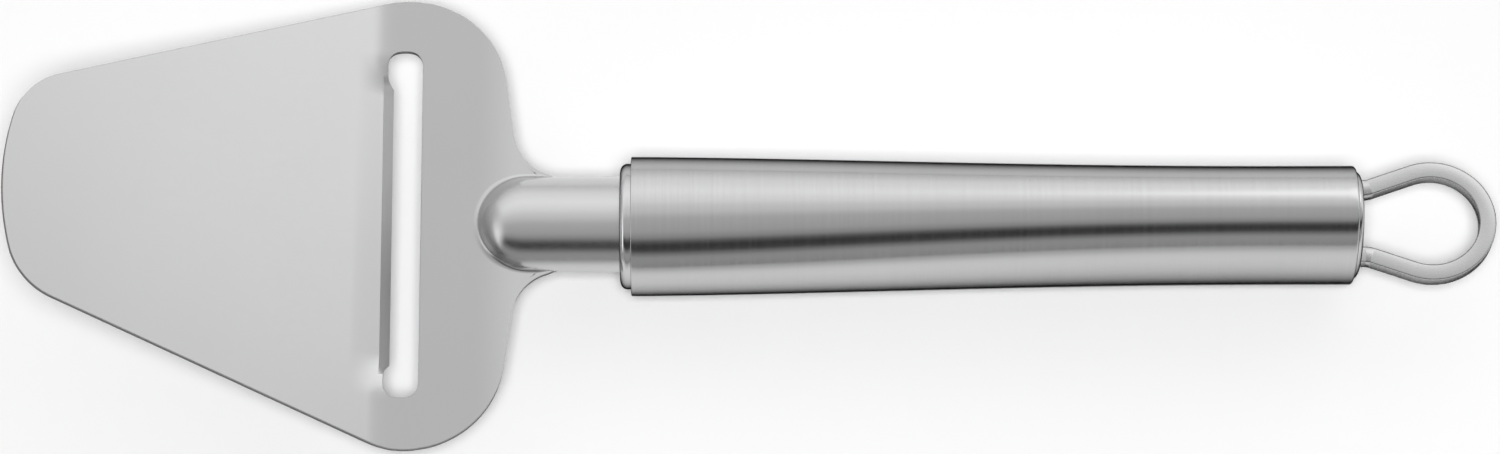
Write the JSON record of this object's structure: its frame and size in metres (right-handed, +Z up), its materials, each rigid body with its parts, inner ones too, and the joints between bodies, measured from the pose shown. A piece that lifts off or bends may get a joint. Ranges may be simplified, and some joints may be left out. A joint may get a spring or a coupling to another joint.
{
  "type": "cheese slicer",
  "caption": "Steel cheese slicer: a tapered, folded blade with a cutting slot on a half-round neck, and a hollow brushed handle with a hanging loop.",
  "frame": {"origin": "bottom centre of the whole slicer, under the handle's lowest line", "axes": "+X from the blade's tip to the hanging loop, +Y across the blade, +Z up with the blade's tip raised"},
  "size_m": [0.2393, 0.0762, 0.0386],
  "materials": {
    "blade_steel": "satin",
    "handle_steel": "brushed across",
    "cap_steel": "polished",
    "loop_steel": "satin"
  },
  "bodies": {
    "root": {"slicer_blade": "blade_steel", "front_cap": "cap_steel", "handle_tube": "handle_steel", "rear_cap": "cap_steel", "hanging_loop": "loop_steel"}
  },
  "joints": []
}
